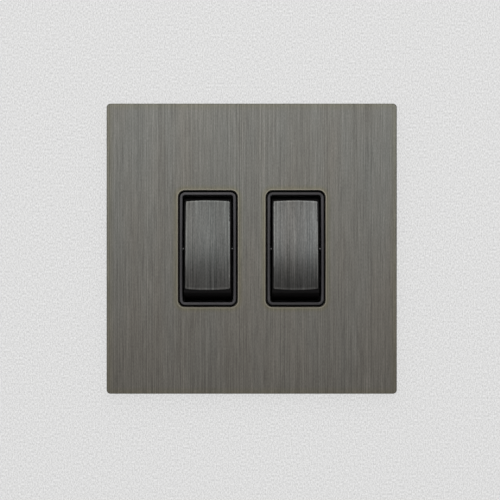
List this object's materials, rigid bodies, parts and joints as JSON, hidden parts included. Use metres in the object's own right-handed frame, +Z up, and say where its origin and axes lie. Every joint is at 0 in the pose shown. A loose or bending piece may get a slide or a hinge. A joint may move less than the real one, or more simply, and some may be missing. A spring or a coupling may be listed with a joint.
{
  "type": "rocker wall switch",
  "caption": "Flat square metal wall plate with two rocker switches in black surrounds, on a steel mounting frame with terminals behind.",
  "frame": {"origin": "on the wall's surface, midway between the two box screws", "axes": "+X right and +Z up as seen from the room, +Y into the wall, along the box screws"},
  "size_m": [0.09, 0.0324, 0.09],
  "materials": {
    "plate_metal": "brushed, dark bronze plated",
    "cap_metal": "brushed, dark bronze plated",
    "black_gloss": "moulded, semi-gloss",
    "black_matt": "moulded, fine texture",
    "housing": "moulded urea, satin",
    "gasket_foam": "closed-cell foam",
    "zinc_steel": "zinc plated",
    "screw_steel": "nickel plated",
    "terminal_brass": "bright, machined",
    "contact_metal": "stamped copper alloy",
    "contact_silver": "silver alloy",
    "nylon": "natural nylon",
    "spring_steel": "drawn wire"
  },
  "bodies": {
    "plate": {"front_plate": "plate_metal", "clip_frame": "black_matt", "wall_gasket": "gasket_foam", "mounting_frame": "zinc_steel", "box_screws": "screw_steel", "earth_terminal": "terminal_brass", "earth_screw": "screw_steel", "bezel_left": "black_gloss", "switch_base_left": "housing", "case_screws_left": "screw_steel", "l1_terminal_left": "terminal_brass", "l2_terminal_left": "terminal_brass", "common_terminal_left": "terminal_brass", "fixed_contacts_left": "contact_silver", "terminal_screws_left": "screw_steel", "bezel_right": "black_gloss", "switch_base_right": "housing", "case_screws_right": "screw_steel", "l1_terminal_right": "terminal_brass", "l2_terminal_right": "terminal_brass", "common_terminal_right": "terminal_brass", "fixed_contacts_right": "contact_silver", "terminal_screws_right": "screw_steel"},
    "rocker_left": {"rocker_left": "black_matt", "rocker_cap_left": "cap_metal", "plunger_spring_left": "spring_steel"},
    "plunger_left": {"plunger_left": "nylon"},
    "bridge_left": {"contact_bridge_left": "contact_metal", "moving_contacts_left": "contact_silver"},
    "rocker_right": {"rocker_right": "black_matt", "rocker_cap_right": "cap_metal", "plunger_spring_right": "spring_steel"},
    "plunger_right": {"plunger_right": "nylon"},
    "bridge_right": {"contact_bridge_right": "contact_metal", "moving_contacts_right": "contact_silver"}
  },
  "joints": [
    {"name": "rocker_left_tilt", "type": "hinge", "parent": "plate", "child": "rocker_left", "pos_m": [-0.0136, 0.001, 0], "axis": [1, 0, 0], "range_deg": [0, 18]},
    {"name": "plunger_left_slide", "type": "slide", "parent": "rocker_left", "child": "plunger_left", "axis": [0, -0.9877, 0.1564], "range_m": [0, 0.0008], "stiffness_N_per_m": 500, "springref_m": -0.002, "deforming": ["plunger_spring_left"]},
    {"name": "bridge_left_tilt", "type": "hinge", "parent": "plate", "child": "bridge_left", "pos_m": [-0.0136, 0.0125, 0], "axis": [1, 0, 0], "range_deg": [-12.6, 0]},
    {"name": "rocker_right_tilt", "type": "hinge", "parent": "plate", "child": "rocker_right", "pos_m": [0.0136, 0.001, 0], "axis": [1, 0, 0], "range_deg": [0, 18]},
    {"name": "plunger_right_slide", "type": "slide", "parent": "rocker_right", "child": "plunger_right", "axis": [0, -0.9877, 0.1564], "range_m": [0, 0.0008], "stiffness_N_per_m": 500, "springref_m": -0.002, "deforming": ["plunger_spring_right"]},
    {"name": "bridge_right_tilt", "type": "hinge", "parent": "plate", "child": "bridge_right", "pos_m": [0.0136, 0.0125, 0], "axis": [1, 0, 0], "range_deg": [-12.6, 0]}
  ],
  "couplings": [
    {"joint": "bridge_left_tilt", "follows": "rocker_left_tilt", "ratio": -0.7},
    {"joint": "bridge_right_tilt", "follows": "rocker_right_tilt", "ratio": -0.7}
  ]
}
